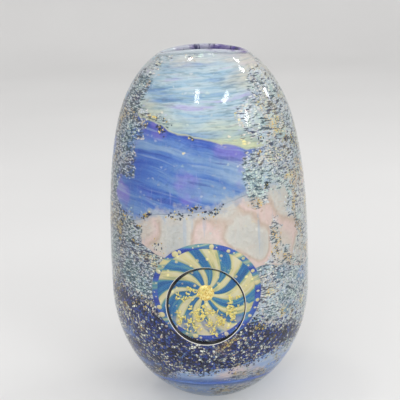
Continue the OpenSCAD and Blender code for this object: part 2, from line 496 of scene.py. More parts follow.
# Channels of a grain's chance colour: its tone, its hue, and the cover from which it shows
TONE, HUE, SHARE = range(3)

# Specular level of polished glass, and its index of refraction
GLOSS = 0.5
GLASS_IOR = 1.5

# The size of the waver in streaks, and how an edge frays, in widths of its margin
STREAK_WAVER = 45 * MM
FRAY_SIZE = 4 * MM
FRAY = 3
FRAY_END = 0.15

# Grains: the seam between two of them, and the waver of their outlines, as shares of their size
GRAIN_SEAM = (0.04, 0.16)
GRAIN_WAVER_SIZE = 4
GRAIN_WAVER = 0.6
FRIT_SIZE = 1.25 * MM
FRIT_GLINT = 0.6
LEAF_GLINT = 0.35
LEAF_METAL = 0.15

# Dark folds in the leaf: their size, how far they are drawn out, and how many more the left side has
FOLD_SIZE = 0.85 * MM
FOLD_DRAW = 0.36
FOLD_LEFT = 0.07


class Nodes:
    """The nodes of a material or the world, added with short calls."""

    def __init__(self, owner):
        owner.use_nodes = True
        self.tree = owner.node_tree

    def put(self, socket, value):
        if isinstance(value, bpy.types.NodeSocket):
            self.tree.links.new(value, socket)
        else:
            socket.default_value = value

    def node(self, kind, inputs=(), **settings):
        node = self.tree.nodes.new(kind)
        for name, value in settings.items():
            setattr(node, name, value)
        for key, value in dict(inputs).items():
            self.put(node.inputs[key], value)
        return node

    def math(self, operation, *values):
        return self.node("ShaderNodeMath", enumerate(values), operation=operation).outputs[0]


class Paint(Nodes):
    """A material's nodes. Most calls give the socket that holds their result."""

    def __init__(self, name, roughness=0.3, specular=0.2, transmission=0.0):
        self.material = bpy.data.materials.new(name + "_finish")
        super().__init__(self.material)
        self.shader = self.tree.nodes["Principled BSDF"]
        self.shader.inputs["Roughness"].default_value = roughness
        self.shader.inputs["Specular IOR Level"].default_value = specular
        self.shader.inputs["Transmission Weight"].default_value = transmission
        self.where = self.node("ShaderNodeTexCoord").outputs["Object"]

    def times(self, a, b):
        return self.math("MULTIPLY", a, b)

    def plus(self, base, value, amount):
        """A base value with some amount of another value added to it."""
        return self.math("MULTIPLY_ADD", value, amount, base)

    def apart(self, value, middle):
        """How far a value lies from a middle one."""
        return self.math("ABSOLUTE", self.math("SUBTRACT", value, middle))

    def vector(self, operation, *values, output=0):
        return self.node("ShaderNodeVectorMath", enumerate(values), operation=operation).outputs[output]

    def scaled(self, vector, x, y, z):
        return self.vector("MULTIPLY", vector, (x, y, z))

    def pushed(self, vector, push, amount):
        """A vector pushed by a colour, whose middle grey pushes nowhere."""
        push = self.vector("SUBTRACT", push, (0.5, 0.5, 0.5))
        return self.vector("MULTIPLY_ADD", push, (amount, amount, amount), vector)

    def attribute(self, name):
        return self.node("ShaderNodeAttribute", attribute_name=name).outputs["Fac"]

    def axis(self, name):
        return self.node("ShaderNodeSeparateXYZ", {"Vector": self.where}).outputs[name]

    def part(self, colour, channel):
        return self.node("ShaderNodeSeparateColor", {"Color": colour}).outputs[channel]

    def noise(self, vector, size, detail=3.0, roughness=0.55, output="Fac"):
        inputs = {"Vector": vector, "Scale": 1 / size, "Detail": detail, "Roughness": roughness}
        return self.node("ShaderNodeTexNoise", inputs).outputs[output]

    def cells(self, vector, size, feature="F1", output="Color"):
        inputs = {"Vector": vector, "Scale": 1 / size}
        return self.node("ShaderNodeTexVoronoi", inputs, feature=feature).outputs[output]

    def step(self, value, low, high):
        """A soft rise from nothing at the low value to one at the high value."""
        inputs = {"Value": value, "From Min": low, "From Max": high}
        return self.node("ShaderNodeMapRange", inputs, interpolation_type="SMOOTHSTEP").outputs[0]

    def ramp(self, value, *stops):
        node = self.node("ShaderNodeValToRGB", {"Fac": value})
        elements = node.color_ramp.elements
        while len(elements) < len(stops):
            elements.new(0.5)
        for element, (position, colour) in zip(elements, stops):
            element.position = position
            element.color = colour
        return node.outputs["Color"]

    def mix(self, share, a, b):
        inputs = {"Factor": share, MIX_A: a, MIX_B: b}
        return self.node("ShaderNodeMix", inputs, data_type="RGBA").outputs[MIX_RESULT]

    def layered(self, colour, *layers):
        """Other colours laid over a colour in turn, each as a place, an amount and a colour."""
        for place, amount, other in layers:
            colour = self.mix(self.times(place, amount), colour, other)
        return colour

    def patches(self, size, low, high, detail=3.0):
        """Soft patches of about one size."""
        return self.step(self.noise(self.where, size, detail), low, high)

    def drift(self, size, low, high, sides=0.0, right=0.0):
        """Drifts of leaf: soft patches, more of them at the body's two sides or its right."""
        across = self.axis("X")
        patch = self.plus(self.noise(self.where, size, detail=4), across, right / WIDE_R)
        patch = self.plus(patch, self.math("ABSOLUTE", across), sides / WIDE_R)
        return self.step(patch, low, high)

    def margin(self, edge, width, ragged=1.0):
        """One at an edge of the sweep, falling to nothing over a ragged width."""
        rough = self.math("SUBTRACT", self.noise(self.where, FRAY_SIZE, detail=4), 0.5)
        away = self.plus(self.attribute(edge), rough, FRAY * ragged * width)
        return self.step(away, width, FRAY_END * width)

    def warped(self, vector, size, amount):
        """A vector pushed about by soft noise, so that what follows it wavers."""
        return self.pushed(vector, self.noise(vector, size, detail=2.0, output="Color"), amount)

    def streaks(self, size, stretch, rise=0.0, detail=3.0, roughness=0.55, warp=10 * MM, tilt=SWEEP_TILT):
        """Noise drawn out along the sweeps, as streaks that rise to one side of the body."""
        slope = tan(tilt)
        across = (-slope * cos(rise), -slope * sin(rise), 1.0)
        wavering = self.warped(self.where, STREAK_WAVER, warp)
        height = self.vector("DOT_PRODUCT", wavering, across, output="Value")
        lift = self.node("ShaderNodeCombineXYZ", {"Z": height}).outputs[0]
        flat = self.scaled(wavering, 1 / stretch, 1 / stretch, 0)
        return self.noise(self.vector("ADD", flat, lift), size, detail, roughness)

    def combs(self, size, draw):
        """Fine upright lines."""
        return self.noise(self.scaled(self.where, 1, 1, draw), size)

    def grains(self, size, stretch=1.0):
        """Broken leaf or frit: where a grain lies, and a chance colour for each grain."""
        spot = self.warped(self.where, GRAIN_WAVER_SIZE * size, GRAIN_WAVER * size)
        spot = self.scaled(spot, 1 / stretch, 1 / stretch, 1)
        edge = self.cells(spot, size, "DISTANCE_TO_EDGE", "Distance")
        return self.step(edge, *GRAIN_SEAM), self.cells(spot, size)

    def shown(self, cover, chance, soft):
        """One on the grains that show at a cover, and nothing on the others."""
        return self.step(self.math("SUBTRACT", cover, self.part(chance, SHARE)), -soft, soft)

    def glint(self, chance, amount):
        """Tilts the surface on each grain, so that each catches the light by itself."""
        normal = self.node("ShaderNodeNewGeometry").outputs["Normal"]
        tilted = self.pushed(normal, chance, amount)
        self.put(self.shader.inputs["Normal"], self.vector("NORMALIZE", tilted))

    def bump(self, height, strength, distance):
        inputs = {"Height": height, "Strength": strength, "Distance": distance}
        self.put(self.shader.inputs["Normal"], self.node("ShaderNodeBump", inputs).outputs[0])

    def finish(self, colour, metallic=0.0):
        self.put(self.shader.inputs["Base Color"], colour)
        self.put(self.shader.inputs["Metallic"], metallic)
        return self.material


def wrinkled(paint, colour, share, amount, stretch, dark):
    """Fine dark folds over a colour, where share is high, and more at the body's left."""
    draw = FOLD_DRAW / stretch
    fold = paint.noise(paint.scaled(paint.where, draw, draw, 1), FOLD_SIZE, detail=2)
    fold = paint.plus(fold, paint.step(paint.axis("X"), 0, -WIDE_R), -FOLD_LEFT)
    return paint.layered(colour, (paint.times(paint.step(fold, 0.49, 0.39), share), amount, dark))


def leaf_shine(paint, chance, sheen, gold):
    """Colours of the grains of leaf: tinted silver, and gold where gold is high."""
    hue = paint.mix(0.6, paint.part(chance, HUE), sheen)
    silver = paint.ramp(paint.part(chance, TONE), (0.0, LEAF_GREY), (0.35, LEAF_PALE), (0.85, LEAF_WHITE))
    tint = paint.ramp(
        hue, (0.10, LEAF_AQUA), (0.32, LEAF_PALE), (0.50, LEAF_BLUE), (0.68, PINK), (0.90, LEAF_LIME)
    )
    golden = paint.ramp(hue, (0.15, DARK_GOLD), (0.35, TAN), (0.55, GOLD), (0.95, PALE_GOLD))
    return paint.mix(gold, paint.mix(0.45, silver, tint), golden)


def leafed(paint, colour, cover, size, gold, stretch=1.0):
    """Broken, wrinkled leaf where cover is high: the colour with it, and how metallic it is."""
    grain, chance = paint.grains(size, stretch)
    leaf = paint.times(grain, paint.shown(cover, chance, 0.06))
    paint.glint(chance, LEAF_GLINT)
    depth = paint.plus(paint.noise(paint.where, 10 * MM), paint.axis("X"), 0.12 / WIDE_R)
    gaps = paint.ramp(depth, (0.25, SLATE), (0.40, STEEL), (0.55, LEAF_GREY), (0.68, PALE_AQUA))
    sheen = paint.patches(17 * MM, 0.32, 0.68, detail=2)
    colour = paint.layered(
        colour, (paint.times(cover, cover), 0.85, gaps), (leaf, 1, leaf_shine(paint, chance, sheen, gold))
    )
    dark = paint.ramp(sheen, (0.15, DARK_TEAL), (0.45, SLATE), (0.70, NAVY), (0.90, UMBER))
    colour = wrinkled(paint, colour, paint.step(cover, 0.1, 0.6), 0.9, stretch, dark)
    return colour, paint.times(leaf, LEAF_METAL)


def fritted(paint, colour, edge, width):
    """Grains of dark frit over a colour, fewer and fewer away from one edge of the sweep."""
    grain, chance = paint.grains(FRIT_SIZE)
    near = paint.step(paint.attribute(edge), width, 0)
    tone = paint.part(chance, TONE)
    shade = paint.ramp(tone, (0.15, INK), (0.40, NAVY), (0.62, DEEP_COBALT), (0.76, TAN), (0.90, LEAF_PALE))
    return paint.mix(paint.times(grain, paint.shown(near, chance, 0.04)), colour, shade)


def veil_material():
    """Nearly level streaks of aqua and lilac, creamy at both ends."""
    paint = Paint("veil_glass", roughness=0.32)
    up = paint.step(paint.axis("Z"), VEIL_LOW, HEIGHT)
    streak = paint.streaks(7 * MM, 9, detail=5, roughness=0.62, warp=9 * MM, tilt=VEIL_TILT)
    colour = paint.ramp(
        streak, (0.28, TEAL), (0.40, SKY), (0.48, AQUA), (0.55, PALE_AQUA), (0.62, LILAC), (0.70, PALE_AQUA)
    )
    warm = paint.streaks(21 * MM, 3, warp=12 * MM, tilt=VEIL_TILT)
    warm = paint.plus(warm, paint.apart(up, 0.55), 0.42)
    cream = paint.ramp(up, (0.1, LIME_CREAM), (0.45, CREAM), (1.0, OPAL))
    fine = paint.streaks(1.1 * MM, 18, warp=5 * MM, tilt=VEIL_TILT)
    colour = paint.layered(
        colour,
        (paint.step(warm, 0.52, 0.74), 0.8, cream),
        (paint.step(fine, 0.52, 0.74), 0.4, TEAL),
        (paint.step(fine, 0.46, 0.26), 0.35, OPAL_WHITE),
    )
    colour = wrinkled(paint, colour, paint.patches(24 * MM, 0.36, 0.66), 0.4, 3.0, DEEP_TEAL)
    cover = paint.drift(30 * MM, 0.58, 0.74, sides=0.28, right=0.06)
    gold = paint.patches(13 * MM, 0.57, 0.67)
    return paint.finish(*leafed(paint, colour, cover, 1.2 * MM, gold, stretch=1.6))


def cobalt_material():
    """Streaked blues, deeper towards the top, with a milky lower edge."""
    paint = Paint("cobalt_glass", roughness=0.28)
    streak = paint.streaks(9 * MM, 8, LEFT_RISE, detail=5, roughness=0.6, warp=18 * MM)
    height = paint.step(paint.attribute("from_low"), 0, 45 * MM)
    tone = paint.plus(paint.math("ADD", streak, 0.12), height, -0.2)
    line = paint.streaks(2.2 * MM, 16, LEFT_RISE, detail=2, warp=16 * MM)
    colour = paint.layered(
        paint.ramp(tone, (0.30, DEEP_COBALT), (0.42, COBALT), (0.52, AZURE), (0.62, SKY), (0.76, PALE_SKY)),
        (paint.patches(22 * MM, 0.54, 0.70), 0.6, VIOLET),
        (paint.step(line, 0.57, 0.66), 0.5, DEEP_COBALT),
        (paint.step(line, 0.42, 0.32), 0.4, PALE_SKY),
        (paint.step(paint.combs(1.5 * MM, 0.07), 0.60, 0.78), 0.35, LILAC),
        (paint.margin("from_low", 5 * MM), 0.6, OPAL_GREY),
        (paint.margin("from_high", 1.4 * MM, 0.3), 0.75, LIME_CREAM),
    )
    cover = paint.drift(26 * MM, 0.70, 0.82, sides=0.42, right=0.06)
    gold = paint.patches(13 * MM, 0.58, 0.68)
    return paint.finish(*leafed(paint, colour, cover, 1.3 * MM, gold, stretch=1.2))


def opal_material():
    """Milky glass that has reacted in soft cells, each pale in the middle and pink at its edge."""
    paint = Paint("opal_glass", roughness=0.35)
    spot = paint.scaled(paint.warped(paint.where, 30 * MM, 13 * MM), 1, 1, 0.85)
    middle = paint.cells(spot, 24 * MM, "SMOOTH_F1", "Distance")
    middle = paint.plus(middle, paint.noise(paint.where, 9 * MM), 0.12)
    cloud = paint.streaks(13 * MM, 3, RIGHT_RISE, detail=4, warp=16 * MM)
    comb = paint.combs(2.6 * MM, 0.08)
    colour = paint.ramp(
        middle, (0.26, OPAL_GREY), (0.42, OPAL_WHITE), (0.46, TAN),
        (0.50, PINK), (0.56, OPAL), (0.70, OPAL_WHITE)
    )
    colour = paint.layered(
        colour,
        (paint.step(cloud, 0.52, 0.68), 0.5, OPAL),
        (paint.step(comb, 0.55, 0.72), 0.45, OPAL),
        (paint.step(comb, 0.42, 0.28), 0.4, PALE_SKY),
        (paint.margin("from_high", 4 * MM), 0.55, PALE_SKY),
        (paint.margin("from_low", 4 * MM), 0.6, PINK),
    )
    colour = wrinkled(paint, colour, paint.patches(19 * MM, 0.44, 0.66), 0.4, 1.2, TAN)
    cover = paint.drift(26 * MM, 0.71, 0.81, sides=0.40, right=0.04)
    gold = paint.patches(12 * MM, 0.52, 0.62)
    return paint.finish(*leafed(paint, colour, cover, 1.3 * MM, gold))


def silver_material():
    """Silver leaf nearly all over, with dark frit along the lower edge."""
    paint = Paint("silver_glass")
    under = paint.streaks(10 * MM, 6, LEFT_RISE, detail=4)
    under = paint.ramp(under, (0.36, STEEL), (0.5, TEAL), (0.64, PERIWINKLE))
    cover = paint.drift(24 * MM, 0.36, 0.56, sides=0.1)
    gold = paint.patches(17 * MM, 0.57, 0.67)
    colour, metal = leafed(paint, under, cover, 1.35 * MM, gold)
    return paint.finish(fritted(paint, colour, "from_low", 9 * MM), metal)


def midnight_material():
    """Navy frit with bright and golden grains, and open places of plain blue."""
    paint = Paint("midnight_glass", roughness=0.28)
    grain, chance = paint.grains(FRIT_SIZE)
    patch = paint.step(paint.streaks(11 * MM, 3, LEFT_RISE), 0.36, 0.64)
    tone = paint.plus(paint.part(chance, TONE), paint.math("SUBTRACT", patch, 0.5), 0.36)
    shade = paint.ramp(
        tone, (0.0, INK), (0.25, NAVY), (0.44, DEEP_COBALT), (0.58, COBALT), (0.68, STEEL),
        (0.76, TAN), (0.84, LEAF_PALE), (0.94, LEAF_WHITE)
    )
    ground = paint.ramp(paint.streaks(12 * MM, 4, LEFT_RISE), (0.36, INK), (0.6, NAVY))
    hue = paint.part(chance, HUE)
    fleck = paint.ramp(hue, (0.25, NAVY), (0.45, DARK_GOLD), (0.7, GOLD), (0.92, PALE_GOLD))
    colour = paint.layered(
        paint.mix(grain, ground, shade),
        (paint.times(paint.patches(14 * MM, 0.58, 0.68), grain), 0.85, fleck),
        (paint.step(paint.streaks(17 * MM, 3, RIGHT_RISE, detail=2), 0.60, 0.66), 0.85, AZURE),
    )
    paint.glint(chance, FRIT_GLINT)
    return paint.finish(colour, paint.times(paint.step(tone, 0.7, 0.85), 0.6))


def sky_material():
    """Streaked sky blue, deeper beside the base thread, with leaf below and frit above."""
    paint = Paint("sky_glass", roughness=0.28)
    streak = paint.streaks(4.5 * MM, 10, RIGHT_RISE, detail=4, warp=14 * MM)
    fine = paint.streaks(1.2 * MM, 18, RIGHT_RISE, detail=2)
    height = paint.axis("Z")
    colour = paint.layered(
        paint.ramp(streak, (0.34, PERIWINKLE), (0.48, PALE_PERIWINKLE), (0.64, MIST)),
        (paint.patches(26 * MM, 0.52, 0.64), 0.9, BLUSH),
        (paint.step(fine, 0.55, 0.72), 0.35, COBALT),
        (paint.step(paint.apart(height, TRAIL_Z), 5 * MM, 1 * MM), 0.85, AZURE),
    )
    low = paint.step(height, TRAIL_Z - 1 * MM, TRAIL_Z - 6 * MM)
    cover = paint.times(paint.times(low, paint.patches(20 * MM, 0.40, 0.56)), 0.8)
    cover = paint.math("MAXIMUM", cover, paint.drift(24 * MM, 0.64, 0.80, sides=0.36, right=0.08))
    gold = paint.patches(13 * MM, 0.56, 0.66)
    colour, metal = leafed(paint, colour, cover, 1.2 * MM, gold)
    return paint.finish(fritted(paint, colour, "from_high", 7 * MM), metal)


def streaked_material(name, size, *stops, **shine):
    """Coloured glass with fine streaks that run round the body."""
    paint = Paint(name, **shine)
    return paint.finish(paint.ramp(paint.streaks(size, 8, detail=4), *stops))


def cane_material(name, side, drop, *stops):
    """Streaks along a cane, with drops, and another tone where it meets the next."""
    paint = Paint(name, roughness=0.25)
    across, along, lot = (paint.attribute(value) for value in ("across", "along", "lot"))
    run = paint.node("ShaderNodeCombineXYZ", {"X": across, "Y": along, "Z": lot}).outputs[0]
    streak = paint.noise(paint.scaled(run, 1, 0.9, 3.1), 0.3, detail=4)
    chance = paint.node("ShaderNodeTexWhiteNoise", {"W": lot}, noise_dimensions="1D").outputs["Value"]
    tone = paint.plus(streak, paint.math("SUBTRACT", chance, 0.5), 0.16)
    rim = paint.plus(paint.apart(across, 0.5), streak, 0.35)
    spot = paint.cells(paint.warped(paint.where, 6 * MM, 2 * MM), 4.2 * MM, output="Distance")
    low = paint.step(paint.axis("Z"), MEDALLION_Z - 10 * MM, MEDALLION_Z - 22 * MM)
    colour = paint.layered(
        paint.ramp(tone, *stops),
        (paint.step(rim, 0.48, 0.68), 0.9, side),
        (paint.step(spot, 0.24, 0.14), 0.75, drop),
        (paint.times(low, paint.patches(5 * MM, 0.36, 0.6, detail=4)), 0.8, OPAL),
    )
    return paint.finish(colour)


def gold_material(name, metallic, *stops):
    """Crumpled gold leaf."""
    paint = Paint(name, roughness=0.25, specular=GLOSS)
    crumple = paint.noise(paint.where, 0.9 * MM, detail=4, roughness=0.6)
    paint.bump(crumple, 0.3, 0.2 * MM)
    return paint.finish(paint.ramp(crumple, *stops), metallic)


def clear_material():
    """Clear glass with a faint waver in its surface. Lamps shine through it on what it covers."""
    paint = Paint("clear_glass", roughness=0.08, specular=GLOSS, transmission=1.0)
    paint.shader.inputs["IOR"].default_value = GLASS_IOR
    paint.bump(paint.noise(paint.where, 22 * MM, detail=1), 0.05, 1 * MM)
    paint.finish(CLEAR)
    through = paint.node("ShaderNodeBsdfTransparent", {"Color": CLEAR}).outputs[0]
    shadow = paint.node("ShaderNodeLightPath").outputs["Is Shadow Ray"]
    both = paint.node("ShaderNodeMixShader", {0: shadow, 1: paint.shader.outputs[0], 2: through})
    paint.put(paint.tree.nodes["Material Output"].inputs["Surface"], both.outputs[0])
    return paint.material


def ground_material(name, roughness, low, high):
    """Ground glass, with the fine scratches of the wheel. On the well's wall its near-black colour is
    painted shade.
    """
    paint = Paint(name, roughness=roughness, specular=GLOSS)
    scratch = paint.noise(paint.where, 0.35 * MM, detail=4)
    paint.bump(scratch, 0.3, 0.1 * MM)
    return paint.finish(paint.ramp(scratch, (0.35, low), (0.7, high)))


def window_front(x, z):
    """How far forward the body's outside lies near the window."""
    return np.sqrt(np.square(OUTSIDE.radius(z)) - np.square(x))


def window_rim(side_x, side_y):
    """How far out the flared wall of the well meets the outside, in each direction."""
    rim = np.full(side_x.shape, WINDOW_R)
    for _ in range(SETTLE_ROUNDS):
        depth = window_front(side_x * rim, WINDOW_Z + side_y * rim) - WELL_FRONT
        rim = WINDOW_R + depth * tan(WINDOW_FLARE)
    return rim


def window_rings(plan, loop, local_x, local_y):
    """Fills the gap at the window: the bevelled rim, the flared well and its dished floor."""
    size = np.hypot(local_x, local_y)
    side_x, side_y = local_x / size, local_y / size
    rim = window_rim(side_x, side_y)

    def ring(reach, front=window_front):
        x, z = side_x * reach, WINDOW_Z + side_y * reach
        return plan.add(on_front(x, front(x, z), z))

    body = [loop]
    for share in np.linspace(0, 1, RIM_ROWS + 1)[1:]:
        body.append(ring(size + (rim + WINDOW_BEVEL - size) * smooth_step(share) ** RIM_CROWDING))
    edge = ring(rim, lambda x, z: window_front(x, z) - WINDOW_BEVEL)
    floor_r = WINDOW_R - WELL_INSET - WELL_SHIFT_X * side_x - WELL_SHIFT_Y * side_y
    floor = []
    for share in WELL_RINGS:
        front = WELL_FRONT - WINDOW_DISH * (1 - share ** 2)
        floor.append(ring(floor_r * share, lambda x, z: front))
    plan.join_all(body)
    plan.join(body[-1], edge, finish=GROUND)
    # The well's flared wall, painted dark as shade
    plan.join(edge, floor[0], finish=PAINTED_SHADE_WELL)
    plan.join_all(floor)
    plan.fan(floor[-1], on_front(0, WELL_FRONT - WINDOW_DISH, WINDOW_Z))


def casing_rows():
    """Heights of rows: even along the outline, and even in height beside the window."""
    low, high = WINDOW_Z - WINDOW_PATCH, WINDOW_Z + WINDOW_PATCH
    below = np.linspace(0, OUTSIDE.along(low), ROWS_BELOW)[:-1]
    beside = np.linspace(low, high, ROWS_BESIDE)
    above = np.linspace(OUTSIDE.along(high), OUTSIDE.s[-1], ROWS_ABOVE)[1:]
    heights = np.concatenate([OUTSIDE.place(below)[1], beside, OUTSIDE.place(above)[1]])
    return heights, len(below), len(below) + len(beside) - 1


def casing_wall(plan, turns):
    """The casing's outside with its window. Gives the lowest and the highest ring."""
    heights, low, high = casing_rows()
    radii = OUTSIDE.radius(heights)
    rows = plan.lathe(zip(radii, heights), turns)
    step = 2 * pi / COLUMNS
    half = round(asin(WINDOW_PATCH / WIDE_R) / step)
    plan.join_all(rows[:low + 1])
    plan.join_all([row[half:COLUMNS - half + 1] for row in rows[low:high + 1]], closed=False)
    plan.join_all(rows[high:])
    columns = range(-half, half)
    border = [(low, j) for j in columns] + [(i, half) for i in range(low, high)]
    border += [(high, -j) for j in columns] + [(i, -half) for i in range(high, low, -1)]
    loop = np.array([rows[i][j % COLUMNS] for i, j in border])
    local_x = np.array([radii[i] * sin(j * step) for i, j in border])
    local_y = np.array([heights[i] - WINDOW_Z for i, j in border])
    window_rings(plan, loop, local_x, local_y)
    return rows[0], rows[-1]


def casing_foot(plan, outer, turns):
    """The ground flat that the vase stands on, and the hollow where the rod was."""
    flat = [outer, *plan.lathe([(FOOT_R - FOOT_ROUND, 0), (PONTIL_R + PONTIL_ROUND, 0)], turns)]
    dish = [(PONTIL_R * share, PONTIL_DEPTH * (1 - share ** 2)) for share in PONTIL_RINGS]
    hollow = [flat[-1], *plan.lathe(dish, turns)]
    plan.join_all(flat, finish=GROUND)
    plan.join_all(hollow)
    plan.fan(hollow[-1], (0, 0, PONTIL_DEPTH))


def casing_piece():
    plan = Plan()
    turns = even_turns(COLUMNS)
    foot, lip = casing_wall(plan, turns)
    casing_foot(plan, foot, turns)
    depths = np.linspace(CASING_IN.s[-1], 0, CASING_IN_ROWS)[:-1]
    inside = [lip, *plan.lathe(map(CASING_IN.place, depths), turns)]
    plan.join_all(inside)
    plan.fan(inside[-1], (0, 0, CASING_IN.z[0]))
    finishes = [
        clear_material(),
        ground_material("window_rim", 0.3, OPAL_WHITE, FROST),
        # The well's wall: near-black painted shade, a dark crescent round the window's floor
        ground_material("window_well_painted_shade", 0.2, INK, WELL_PAINTED_SHADE),
    ]
    place_piece(plan.build("casing", CASING_SHARP), finishes, "clear_glass", "clear_casing")


def edge_height(number, turns):
    """Height of the edge above a sweep: a tilted plane that wavers."""
    height, rise = SWEEP_EDGES[number]
    z = np.full(turns.shape, height)
    for _ in range(SETTLE_ROUNDS):
        z = height + tan(SWEEP_TILT) * SWEEP_OUT.radius(z) * np.cos(turns - pi / 2 - rise)
    chance = np.random.default_rng(EDGE_SEED + number)
    for count, size in EDGE_WAVES:
        z = z + size * np.sin(count * turns + chance.uniform(0, 2 * pi))
    return z


def sweep_edges(turns):
    """All the edges, from the base up, each kept above the one below it."""
    edges = []
    for number in range(len(SWEEP_EDGES)):
        edge = SWEEP_OUT.along(edge_height(number, turns))
        edges.append(np.maximum(edge, edges[-1] + SWEEP_LEAST) if edges else edge)
    return edges


def sweep_rows(length):
    """Shares of the way across a sweep, crowded at its edges."""
    near = EDGE_ROWS / length
    return np.concatenate([near, np.linspace(near[-1], 1 - near[-1], SWEEP_ROWS)[1:-1], 1 - near[::-1]])


def medallion_pocket(points):
    """Zero where the medallion takes the sweeps' place, and one outside it."""
    flat = points[:, :2]
    away = np.hypot(flat @ WINDOW_RIGHT, points[:, 2] - MEDALLION_Z)
    return np.where(flat @ WINDOW_AHEAD > 0, smooth_step(away, POCKET_START, POCKET_END), 1)


def sweep_rings(plan, number):
    """Rings of a sweep's two surfaces, which draw together at its edges and behind the medallion."""
    turns = even_turns(COLUMNS)
    top_end = SWEEP_OUT.s[-1]
    ends = [np.full(COLUMNS, SWEEP_START), *sweep_edges(turns), np.full(COLUMNS, top_end)]
    low, high = ends[number:number + 2]
    outer, inner = [], []
    for share in sweep_rows(np.min(high - low)):
        s = low + (high - low) * share
        below = s - low if number else top_end
        above = high - s if number < len(SWEEP_EDGES) else top_end
        rounded = np.sqrt(1 - np.square(1 - np.clip(np.minimum(below, above) / EDGE_ROUND, 0, 1)))
        depth = SWEEP_WALL + (SWEEP_LIP - SWEEP_WALL) * smooth_step(s / top_end, SWEEP_THINS, 1)
        base = lathe_ring(*SWEEP_OUT.place(s, -depth), turns)
        full = (1 - EDGE_GROOVE * (1 - rounded)) * medallion_pocket(base)
        tall = POCKET_LEFT + (1 - POCKET_LEFT) * full
        top = lathe_ring(*SWEEP_OUT.place(s, depth * (tall - 1)), turns)
        values = {"from_low": s - low, "from_high": high - s}
        outer.append(plan.add(top, **values))
        inner.append(plan.add(base, **values))
    return outer, inner


def sweep_piece(number, name, material):
    """One coloured sweep: a sheet on the overlay, rounded where it meets the next."""
    plan = Plan()
    middles = [] if number else [(0, 0, CASING_BASE), (0, 0, CASING_BASE + SWEEP_WALL)]
    plan.slab(*sweep_rings(plan, number), middles)
    place_piece(plan.build(name + "_sheet"), [material], name + "_glass", name + "_sweep")


def shell_piece(name, outer, inner, material, node):
    """A layer of the blown wall, up its outer surface and down its inner one."""
    plan = Plan()
    turns = even_turns(SHELL_COLUMNS)
    rings = []
    for skin, order in ((outer, 1), (inner, -1)):
        rows = np.linspace(0, skin.s[-1], SHELL_ROWS)[1:][::order]
        rings += plan.lathe(map(skin.place, rows), turns)
    plan.join_all(rings)
    plan.fan(rings[0], (0, 0, outer.z[0]))
    plan.fan(rings[-1], (0, 0, inner.z[0]))
    place_piece(plan.build(name, SHARP), [material], name + "_glass", node)


def core_pieces():
    """The two layers under the sweeps. The bubble shows in the mouth."""
    overlay = streaked_material("overlay_glass", 8 * MM, (0.35, AQUA), (0.5, PALE_AQUA), (0.65, SKY))
    bubble = streaked_material(
        "bubble_glass", 11 * MM, (0.34, VIOLET), (0.5, LILAC), (0.66, PALE_SKY),
        roughness=0.08, specular=GLOSS
    )
    shell_piece("overlay", OVERLAY_OUT, BUBBLE_OUT, overlay, "colour_overlay")
    shell_piece("bubble", BUBBLE_OUT, HOLLOW, bubble, "inner_bubble")


def thread_piece(name, r, z, radius, wobble, sides, seed):
    """A ring of trailed thread whose thickness wavers a little."""
    plan = Plan()
    turns = even_turns(COLUMNS)
    chance = np.random.default_rng(seed)
    waver = 0.5
    for count, size in THREAD_WAVES:
        waver = waver + size * np.sin(count * turns + chance.uniform(0, 2 * pi))
    thick = radius * (1 - wobble * waver)
    rings = []
    for angle in circle(sides):
        ring = lathe_ring(r + thick * cos(angle), z + thick * sin(angle), turns)
        rings.append(plan.add(ring, inward=0.5 - 0.5 * cos(angle)))
    plan.join_all(rings + rings[:1])
    return plan.build(name)


def lip_material():
    """Milky glass, nearly clear outside and violet inside, that lets some light through, with painted
    reflections as dark streaks inside.
    """
    paint = Paint("violet_glass", roughness=0.06, specular=GLOSS, transmission=0.4)
    inward = paint.attribute("inward")
    streak = paint.noise(paint.scaled(paint.where, 1, 1, 2), 8 * MM, detail=4)
    tone = paint.plus(paint.plus(streak, inward, 0.22), paint.axis("X"), 6.0)
    colour = paint.ramp(tone, (0.50, LIP_CLEAR), (0.64, LIP_PALE), (0.80, LIP_LILAC), (0.96, LIP_VIOLET))
    # Painted reflection: dark navy streaks on the lip's inner side, standing for dark surroundings mirrored
    # in it
    painted_dark_reflection = paint.noise(paint.scaled(paint.where, 1, 0.4, 0.4), 4 * MM, detail=2)
    painted_dark_reflection = paint.times(paint.step(painted_dark_reflection, 0.57, 0.65), inward)
    paint.bump(paint.noise(paint.where, 5 * MM, detail=2), 0.08, 1 * MM)
    return paint.finish(paint.layered(colour, (painted_dark_reflection, 0.8, NAVY)))


def lip_piece():
    piece = thread_piece("lip", *LIP_MID, LIP_D / 2, LIP_WOBBLE, LIP_SIDES, LIP_SEED)
    place_piece(piece, [lip_material()], "violet_glass", "lip_wrap")


def trail_piece():
    r, z = SWEEP_OUT.place(SWEEP_OUT.along(TRAIL_Z), TRAIL_D / 2 - TRAIL_SINK)
    piece = thread_piece("base_thread", r, z, TRAIL_D / 2, TRAIL_WOBBLE, TRAIL_SIDES, TRAIL_SEED)
    material = streaked_material("trail_glass", 3 * MM, (0.38, COBALT), (0.58, AZURE), (0.75, SKY))
    place_piece(piece, [material], "trail_glass", "base_trail")


def disc_piece(name, inner, outer, low, high, crown, material, slot):
    """A round slab of the medallion, or a ring if it has an inner radius, with a crowned front."""
    plan = Plan()
    angles = circle(DISC_SIDES)
    fronts, backs = [], []
    for share in np.linspace(0 if inner else 1 / DISC_RINGS, 1, DISC_RINGS):
        reach = inner + (outer - inner) * share
        x, y = reach * np.cos(angles), reach * np.sin(angles)
        fall = crown * (2 * share - 1 if inner else share) ** 2
        fronts.append(plan.add(on_medallion(x, y, high - fall)))
        backs.append(plan.add(on_medallion(x, y, low)))
    plan.slab(fronts, backs, [] if inner else [on_medallion(0, 0, out) for out in (high, low)])
    place_piece(plan.build(name, SHARP), [material], slot, "medallion_" + name)


